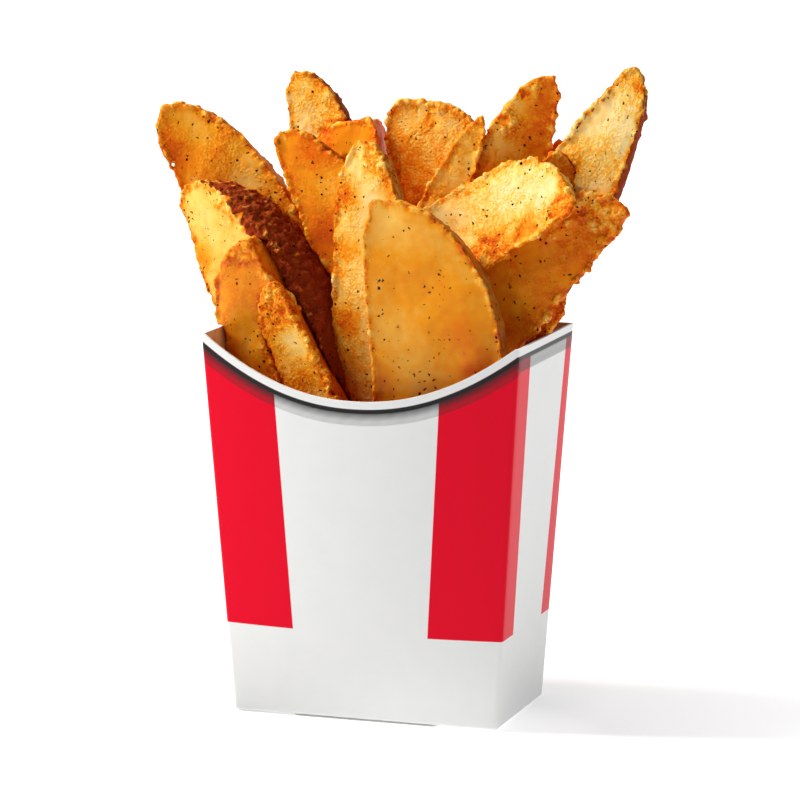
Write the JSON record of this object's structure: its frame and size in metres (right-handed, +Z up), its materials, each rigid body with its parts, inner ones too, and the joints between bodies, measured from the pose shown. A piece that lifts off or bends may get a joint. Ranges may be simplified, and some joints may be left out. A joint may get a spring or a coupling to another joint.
{
  "type": "potato wedges in a carton",
  "caption": "Fried potato wedges standing in a tapered paperboard carton with a scooped front, striped on its corners.",
  "frame": {"origin": "middle of the carton's flat base, on the surface that it stands on", "axes": "+Z up out of the carton's mouth, +X along the carton's wide way, and the scooped front looks along -Y"},
  "size_m": [0.1473, 0.0613, 0.1875],
  "materials": {
    "carton_board": "white coated paperboard with printed red corner bands, satin",
    "fried_potato": "fried potato with a crisp seasoned crust, satin and slightly oily"
  },
  "bodies": {
    "root": {"carton": "carton_board", "hidden_fill": "fried_potato", "wedge_front_smooth": "fried_potato", "wedge_front_crusty": "fried_potato", "wedge_low_tan": "fried_potato", "wedge_right_pale": "fried_potato", "wedge_tall_pale": "fried_potato", "wedge_right_flat": "fried_potato", "wedge_left_pale": "fried_potato", "wedge_right_behind": "fried_potato", "wedge_centre_left": "fried_potato", "wedge_far_left": "fried_potato", "wedge_right_top": "fried_potato", "wedge_thin": "fried_potato", "wedge_far_right": "fried_potato", "wedge_centre_back": "fried_potato", "wedge_low_right": "fried_potato", "wedge_back_left": "fried_potato", "wedge_back_round": "fried_potato", "wedge_back_right": "fried_potato"}
  },
  "joints": []
}
